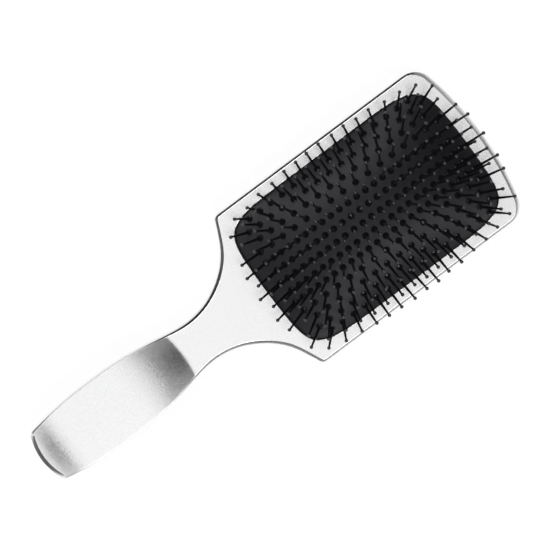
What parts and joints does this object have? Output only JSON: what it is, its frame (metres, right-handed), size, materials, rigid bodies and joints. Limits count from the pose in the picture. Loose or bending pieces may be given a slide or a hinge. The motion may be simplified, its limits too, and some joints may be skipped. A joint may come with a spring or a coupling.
{
  "type": "paddle brush",
  "caption": "Large flat salon paddle brush: silver two-part shell with slim neck, sprung black rubber air cushion and ball-tipped pins that sink and straighten as it is pressed.",
  "frame": {"origin": "middle of the brush's length and width, on the surface that its flat back rests on", "axes": "+X along the brush from the butt of the handle to the head, +Y across it, +Z out of the bristle face"},
  "size_m": [0.25, 0.0836, 0.0418],
  "materials": {
    "silver_lacquer": "satin metallic silver lacquer on moulded plastic, fine grain",
    "black_rubber": "satin black rubber",
    "black_nylon": "smooth black nylon, small highlights on the ball tips",
    "dark_plastic": "plain dark moulded plastic, hidden inside"
  },
  "bodies": {
    "brush_body": {"front_shell": "silver_lacquer", "back_shell": "silver_lacquer", "cushion_tray": "dark_plastic", "cushion_retaining_frame": "dark_plastic"},
    "cushion": {"rubber_cushion": "black_rubber"},
    "pin_row_01_strip_1": {"pin_row_01_strip_1": "black_nylon"},
    "pin_row_01_strip_2": {"pin_row_01_strip_2": "black_nylon"},
    "pin_row_01_strip_3": {"pin_row_01_strip_3": "black_nylon"},
    "pin_row_02_strip_1": {"pin_row_02_strip_1": "black_nylon"},
    "pin_row_02_strip_2": {"pin_row_02_strip_2": "black_nylon"},
    "pin_row_02_strip_3": {"pin_row_02_strip_3": "black_nylon"},
    "pin_row_03_strip_1": {"pin_row_03_strip_1": "black_nylon"},
    "pin_row_03_strip_2": {"pin_row_03_strip_2": "black_nylon"},
    "pin_row_03_strip_3": {"pin_row_03_strip_3": "black_nylon"},
    "pin_row_04_strip_1": {"pin_row_04_strip_1": "black_nylon"},
    "pin_row_04_strip_2": {"pin_row_04_strip_2": "black_nylon"},
    "pin_row_04_strip_3": {"pin_row_04_strip_3": "black_nylon"},
    "pin_row_05_strip_1": {"pin_row_05_strip_1": "black_nylon"},
    "pin_row_05_strip_2": {"pin_row_05_strip_2": "black_nylon"},
    "pin_row_05_strip_3": {"pin_row_05_strip_3": "black_nylon"},
    "pin_row_06_strip_1": {"pin_row_06_strip_1": "black_nylon"},
    "pin_row_06_strip_2": {"pin_row_06_strip_2": "black_nylon"},
    "pin_row_06_strip_3": {"pin_row_06_strip_3": "black_nylon"},
    "pin_row_07_strip_1": {"pin_row_07_strip_1": "black_nylon"},
    "pin_row_07_strip_2": {"pin_row_07_strip_2": "black_nylon"},
    "pin_row_07_strip_3": {"pin_row_07_strip_3": "black_nylon"},
    "pin_row_08_strip_1": {"pin_row_08_strip_1": "black_nylon"},
    "pin_row_08_strip_2": {"pin_row_08_strip_2": "black_nylon"},
    "pin_row_08_strip_3": {"pin_row_08_strip_3": "black_nylon"},
    "pin_row_09_strip_1": {"pin_row_09_strip_1": "black_nylon"},
    "pin_row_09_strip_2": {"pin_row_09_strip_2": "black_nylon"},
    "pin_row_09_strip_3": {"pin_row_09_strip_3": "black_nylon"},
    "pin_row_10_strip_1": {"pin_row_10_strip_1": "black_nylon"},
    "pin_row_10_strip_2": {"pin_row_10_strip_2": "black_nylon"},
    "pin_row_10_strip_3": {"pin_row_10_strip_3": "black_nylon"},
    "pin_row_11_strip_1": {"pin_row_11_strip_1": "black_nylon"},
    "pin_row_11_strip_2": {"pin_row_11_strip_2": "black_nylon"},
    "pin_row_11_strip_3": {"pin_row_11_strip_3": "black_nylon"},
    "pin_row_12_strip_1": {"pin_row_12_strip_1": "black_nylon"},
    "pin_row_12_strip_2": {"pin_row_12_strip_2": "black_nylon"},
    "pin_row_12_strip_3": {"pin_row_12_strip_3": "black_nylon"},
    "pin_row_13_strip_1": {"pin_row_13_strip_1": "black_nylon"},
    "pin_row_13_strip_2": {"pin_row_13_strip_2": "black_nylon"},
    "pin_row_13_strip_3": {"pin_row_13_strip_3": "black_nylon"}
  },
  "joints": [
    {"name": "cushion_press", "type": "slide", "parent": "brush_body", "child": "cushion", "axis": [0, 0, -1], "range_m": [0, 0.003], "stiffness_N_per_m": 4000, "deforming": ["rubber_cushion"]},
    {"name": "pin_row_01_strip_1_swing", "type": "hinge", "parent": "brush_body", "child": "pin_row_01_strip_1", "pos_m": [0.02846, -0.03588, 0.01484], "axis": [-0.9925, 0.1226, 0], "range_deg": [0, 6.97]},
    {"name": "pin_row_01_strip_2_swing", "type": "hinge", "parent": "brush_body", "child": "pin_row_01_strip_2", "pos_m": [0.06147, -0.03616, 0.01557], "axis": [-1, -0.0037, 0], "range_deg": [0, 9.22]},
    {"name": "pin_row_01_strip_3_swing", "type": "hinge", "parent": "brush_body", "child": "pin_row_01_strip_3", "pos_m": [0.09454, -0.03568, 0.01466], "axis": [-0.9882, -0.1529, 0], "range_deg": [0, 6.56]},
    {"name": "pin_row_02_strip_1_swing", "type": "hinge", "parent": "brush_body", "child": "pin_row_02_strip_1", "pos_m": [0.02193, -0.03635, 0.01626], "axis": [-0.9433, 0.3318, 0], "range_deg": [0, 5.29]},
    {"name": "pin_row_02_strip_2_swing", "type": "hinge", "parent": "brush_body", "child": "pin_row_02_strip_2", "pos_m": [0.06155, -0.03806, 0.01792], "axis": [-1, -0.0091, 0], "range_deg": [0, 7.17]},
    {"name": "pin_row_02_strip_3_swing", "type": "hinge", "parent": "brush_body", "child": "pin_row_02_strip_3", "pos_m": [0.10144, -0.03556, 0.0159], "axis": [-0.9163, -0.4004, 0], "range_deg": [0, 4.99]},
    {"name": "pin_row_03_strip_1_swing", "type": "hinge", "parent": "brush_body", "child": "pin_row_03_strip_1", "pos_m": [0.01943, -0.03779, 0.01795], "axis": [-0.8834, 0.4687, 0], "range_deg": [0, 4.47]},
    {"name": "pin_row_03_strip_2_swing", "type": "hinge", "parent": "brush_body", "child": "pin_row_03_strip_2", "pos_m": [0.0618, -0.04296, 0.01989], "axis": [-0.9999, -0.0167, 0], "range_deg": [0, 5.33]},
    {"name": "pin_row_03_strip_3_swing", "type": "hinge", "parent": "brush_body", "child": "pin_row_03_strip_3", "pos_m": [0.10422, -0.03603, 0.01752], "axis": [-0.839, -0.5441, 0], "range_deg": [0, 4.36]},
    {"name": "pin_row_04_strip_1_swing", "type": "hinge", "parent": "brush_body", "child": "pin_row_04_strip_1", "pos_m": [0.00727, -0.03179, 0.01842], "axis": [-0.6676, 0.7446, 0], "range_deg": [0, 3.88]},
    {"name": "pin_row_04_strip_2_swing", "type": "hinge", "parent": "brush_body", "child": "pin_row_04_strip_2", "pos_m": [0.06246, -0.05227, 0.02124], "axis": [-0.9996, -0.0283, 0], "range_deg": [0, 3.78]},
    {"name": "pin_row_04_strip_3_swing", "type": "hinge", "parent": "brush_body", "child": "pin_row_04_strip_3", "pos_m": [0.11459, -0.02806, 0.01783], "axis": [-0.5849, -0.8111, 0], "range_deg": [0, 4.02]},
    {"name": "pin_row_05_strip_1_swing", "type": "hinge", "parent": "brush_body", "child": "pin_row_05_strip_1", "pos_m": [0.00037, -0.02635, 0.01939], "axis": [-0.5094, 0.8605, 0], "range_deg": [0, 3.5]},
    {"name": "pin_row_05_strip_2_sink", "type": "slide", "parent": "brush_body", "child": "pin_row_05_strip_2", "axis": [0, 0, -1], "range_m": [0, 0.00268]},
    {"name": "pin_row_05_strip_3_swing", "type": "hinge", "parent": "brush_body", "child": "pin_row_05_strip_3", "pos_m": [0.11941, -0.02198, 0.01878], "axis": [-0.4328, -0.9015, 0], "range_deg": [0, 3.77]},
    {"name": "pin_row_06_strip_1_swing", "type": "hinge", "parent": "brush_body", "child": "pin_row_06_strip_1", "pos_m": [-0.00675, -0.01475, 0.01989], "axis": [-0.2706, 0.9627, 0], "range_deg": [0, 3.33]},
    {"name": "pin_row_06_strip_2_sink", "type": "slide", "parent": "brush_body", "child": "pin_row_06_strip_2", "axis": [0, 0, -1], "range_m": [0, 0.00285]},
    {"name": "pin_row_06_strip_3_swing", "type": "hinge", "parent": "brush_body", "child": "pin_row_06_strip_3", "pos_m": [0.12389, -0.01172, 0.01925], "axis": [-0.2228, -0.9749, 0], "range_deg": [0, 3.72]},
    {"name": "pin_row_07_strip_1_swing", "type": "hinge", "parent": "brush_body", "child": "pin_row_07_strip_1", "pos_m": [-0.00861, 0, 0.01994], "axis": [0, 1, 0], "range_deg": [0, 3.3]},
    {"name": "pin_row_07_strip_2_sink", "type": "slide", "parent": "brush_body", "child": "pin_row_07_strip_2", "axis": [0, 0, -1], "range_m": [0, 0.00293]},
    {"name": "pin_row_07_strip_3_swing", "type": "hinge", "parent": "brush_body", "child": "pin_row_07_strip_3", "pos_m": [0.12463, 0, 0.01927], "axis": [0, -1, 0], "range_deg": [0, 3.72]},
    {"name": "pin_row_08_strip_1_swing", "type": "hinge", "parent": "brush_body", "child": "pin_row_08_strip_1", "pos_m": [-0.00675, 0.01475, 0.01989], "axis": [0.2706, 0.9627, 0], "range_deg": [0, 3.33]},
    {"name": "pin_row_08_strip_2_sink", "type": "slide", "parent": "brush_body", "child": "pin_row_08_strip_2", "axis": [0, 0, -1], "range_m": [0, 0.00285]},
    {"name": "pin_row_08_strip_3_swing", "type": "hinge", "parent": "brush_body", "child": "pin_row_08_strip_3", "pos_m": [0.12389, 0.01172, 0.01925], "axis": [0.2228, -0.9749, 0], "range_deg": [0, 3.72]},
    {"name": "pin_row_09_strip_1_swing", "type": "hinge", "parent": "brush_body", "child": "pin_row_09_strip_1", "pos_m": [0.00037, 0.02635, 0.01939], "axis": [0.5094, 0.8605, 0], "range_deg": [0, 3.5]},
    {"name": "pin_row_09_strip_2_sink", "type": "slide", "parent": "brush_body", "child": "pin_row_09_strip_2", "axis": [0, 0, -1], "range_m": [0, 0.00268]},
    {"name": "pin_row_09_strip_3_swing", "type": "hinge", "parent": "brush_body", "child": "pin_row_09_strip_3", "pos_m": [0.11941, 0.02198, 0.01878], "axis": [0.4328, -0.9015, 0], "range_deg": [0, 3.77]},
    {"name": "pin_row_10_strip_1_swing", "type": "hinge", "parent": "brush_body", "child": "pin_row_10_strip_1", "pos_m": [0.00727, 0.03179, 0.01842], "axis": [0.6676, 0.7446, 0], "range_deg": [0, 3.88]},
    {"name": "pin_row_10_strip_2_swing", "type": "hinge", "parent": "brush_body", "child": "pin_row_10_strip_2", "pos_m": [0.06246, 0.05227, 0.02124], "axis": [0.9996, -0.0283, 0], "range_deg": [0, 3.78]},
    {"name": "pin_row_10_strip_3_swing", "type": "hinge", "parent": "brush_body", "child": "pin_row_10_strip_3", "pos_m": [0.11459, 0.02806, 0.01783], "axis": [0.5849, -0.8111, 0], "range_deg": [0, 4.02]},
    {"name": "pin_row_11_strip_1_swing", "type": "hinge", "parent": "brush_body", "child": "pin_row_11_strip_1", "pos_m": [0.01943, 0.03779, 0.01795], "axis": [0.8834, 0.4687, 0], "range_deg": [0, 4.47]},
    {"name": "pin_row_11_strip_2_swing", "type": "hinge", "parent": "brush_body", "child": "pin_row_11_strip_2", "pos_m": [0.0618, 0.04296, 0.01989], "axis": [0.9999, -0.0167, 0], "range_deg": [0, 5.33]},
    {"name": "pin_row_11_strip_3_swing", "type": "hinge", "parent": "brush_body", "child": "pin_row_11_strip_3", "pos_m": [0.10422, 0.03603, 0.01752], "axis": [0.839, -0.5441, 0], "range_deg": [0, 4.36]},
    {"name": "pin_row_12_strip_1_swing", "type": "hinge", "parent": "brush_body", "child": "pin_row_12_strip_1", "pos_m": [0.02193, 0.03635, 0.01626], "axis": [0.9433, 0.3318, 0], "range_deg": [0, 5.29]},
    {"name": "pin_row_12_strip_2_swing", "type": "hinge", "parent": "brush_body", "child": "pin_row_12_strip_2", "pos_m": [0.06155, 0.03806, 0.01792], "axis": [1, -0.0091, 0], "range_deg": [0, 7.17]},
    {"name": "pin_row_12_strip_3_swing", "type": "hinge", "parent": "brush_body", "child": "pin_row_12_strip_3", "pos_m": [0.10144, 0.03556, 0.0159], "axis": [0.9163, -0.4004, 0], "range_deg": [0, 4.99]},
    {"name": "pin_row_13_strip_1_swing", "type": "hinge", "parent": "brush_body", "child": "pin_row_13_strip_1", "pos_m": [0.02846, 0.03588, 0.01484], "axis": [0.9925, 0.1226, 0], "range_deg": [0, 6.97]},
    {"name": "pin_row_13_strip_2_swing", "type": "hinge", "parent": "brush_body", "child": "pin_row_13_strip_2", "pos_m": [0.06147, 0.03616, 0.01557], "axis": [1, -0.0037, 0], "range_deg": [0, 9.22]},
    {"name": "pin_row_13_strip_3_swing", "type": "hinge", "parent": "brush_body", "child": "pin_row_13_strip_3", "pos_m": [0.09454, 0.03568, 0.01466], "axis": [0.9882, -0.1529, 0], "range_deg": [0, 6.56]}
  ],
  "couplings": [
    {"joint": "pin_row_01_strip_1_swing", "follows": "cushion_press", "rad_per_m": 40.549},
    {"joint": "pin_row_01_strip_2_swing", "follows": "cushion_press", "rad_per_m": 53.617},
    {"joint": "pin_row_01_strip_3_swing", "follows": "cushion_press", "rad_per_m": 38.165},
    {"joint": "pin_row_02_strip_1_swing", "follows": "cushion_press", "rad_per_m": 30.777},
    {"joint": "pin_row_02_strip_2_swing", "follows": "cushion_press", "rad_per_m": 41.701},
    {"joint": "pin_row_02_strip_3_swing", "follows": "cushion_press", "rad_per_m": 29.021},
    {"joint": "pin_row_03_strip_1_swing", "follows": "cushion_press", "rad_per_m": 26.016},
    {"joint": "pin_row_03_strip_2_swing", "follows": "cushion_press", "rad_per_m": 30.989},
    {"joint": "pin_row_03_strip_3_swing", "follows": "cushion_press", "rad_per_m": 25.38},
    {"joint": "pin_row_04_strip_1_swing", "follows": "cushion_press", "rad_per_m": 22.572},
    {"joint": "pin_row_04_strip_2_swing", "follows": "cushion_press", "rad_per_m": 21.962},
    {"joint": "pin_row_04_strip_3_swing", "follows": "cushion_press", "rad_per_m": 23.375},
    {"joint": "pin_row_05_strip_1_swing", "follows": "cushion_press", "rad_per_m": 20.359},
    {"joint": "pin_row_05_strip_2_sink", "follows": "cushion_press", "ratio": 0.89443},
    {"joint": "pin_row_05_strip_3_swing", "follows": "cushion_press", "rad_per_m": 21.95},
    {"joint": "pin_row_06_strip_1_swing", "follows": "cushion_press", "rad_per_m": 19.379},
    {"joint": "pin_row_06_strip_2_sink", "follows": "cushion_press", "ratio": 0.94784},
    {"joint": "pin_row_06_strip_3_swing", "follows": "cushion_press", "rad_per_m": 21.605},
    {"joint": "pin_row_07_strip_1_swing", "follows": "cushion_press", "rad_per_m": 19.178},
    {"joint": "pin_row_07_strip_2_sink", "follows": "cushion_press", "ratio": 0.97555},
    {"joint": "pin_row_07_strip_3_swing", "follows": "cushion_press", "rad_per_m": 21.652},
    {"joint": "pin_row_08_strip_1_swing", "follows": "cushion_press", "rad_per_m": 19.379},
    {"joint": "pin_row_08_strip_2_sink", "follows": "cushion_press", "ratio": 0.94784},
    {"joint": "pin_row_08_strip_3_swing", "follows": "cushion_press", "rad_per_m": 21.605},
    {"joint": "pin_row_09_strip_1_swing", "follows": "cushion_press", "rad_per_m": 20.359},
    {"joint": "pin_row_09_strip_2_sink", "follows": "cushion_press", "ratio": 0.89443},
    {"joint": "pin_row_09_strip_3_swing", "follows": "cushion_press", "rad_per_m": 21.95},
    {"joint": "pin_row_10_strip_1_swing", "follows": "cushion_press", "rad_per_m": 22.572},
    {"joint": "pin_row_10_strip_2_swing", "follows": "cushion_press", "rad_per_m": 21.962},
    {"joint": "pin_row_10_strip_3_swing", "follows": "cushion_press", "rad_per_m": 23.375},
    {"joint": "pin_row_11_strip_1_swing", "follows": "cushion_press", "rad_per_m": 26.016},
    {"joint": "pin_row_11_strip_2_swing", "follows": "cushion_press", "rad_per_m": 30.989},
    {"joint": "pin_row_11_strip_3_swing", "follows": "cushion_press", "rad_per_m": 25.38},
    {"joint": "pin_row_12_strip_1_swing", "follows": "cushion_press", "rad_per_m": 30.777},
    {"joint": "pin_row_12_strip_2_swing", "follows": "cushion_press", "rad_per_m": 41.701},
    {"joint": "pin_row_12_strip_3_swing", "follows": "cushion_press", "rad_per_m": 29.021},
    {"joint": "pin_row_13_strip_1_swing", "follows": "cushion_press", "rad_per_m": 40.549},
    {"joint": "pin_row_13_strip_2_swing", "follows": "cushion_press", "rad_per_m": 53.617},
    {"joint": "pin_row_13_strip_3_swing", "follows": "cushion_press", "rad_per_m": 38.165}
  ]
}
